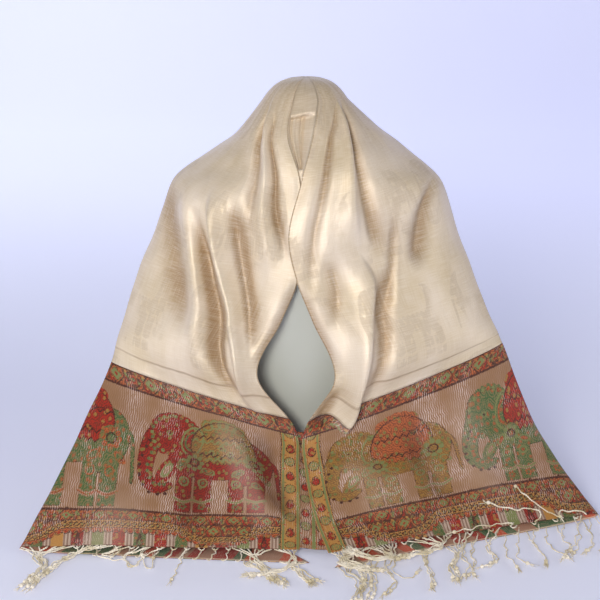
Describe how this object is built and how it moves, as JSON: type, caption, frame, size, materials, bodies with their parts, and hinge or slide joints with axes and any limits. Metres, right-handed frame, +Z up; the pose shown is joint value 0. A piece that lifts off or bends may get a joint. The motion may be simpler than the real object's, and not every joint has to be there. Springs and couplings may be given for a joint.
{
  "type": "pashmina shawl on a limbless display form",
  "caption": "Folded cream shawl with broad woven figured ends and knotted fringe, draped like a hood over a smooth white display form.",
  "frame": {"origin": "centre of the form's flat base, on the surface that the form stands on", "axes": "+Z up, -Y the open front of the shawl, +X the shawl's right-hand end as seen from the front"},
  "size_m": [0.7893, 0.5307, 0.574],
  "materials": {
    "cream_cloth": "satin",
    "figured_cloth": "satin",
    "fringe_yarn": "matte",
    "form_plastic": "gloss"
  },
  "bodies": {
    "root": {"form": "form_plastic", "hood": "cream_cloth", "front_left": "cream_cloth", "front_right": "cream_cloth", "back": "cream_cloth", "end_left": "figured_cloth", "end_right": "figured_cloth", "under_left": "figured_cloth", "under_right": "figured_cloth", "fringe_left": "fringe_yarn", "fringe_right": "fringe_yarn", "fringe_under_left": "fringe_yarn", "fringe_under_right": "fringe_yarn"}
  },
  "joints": []
}
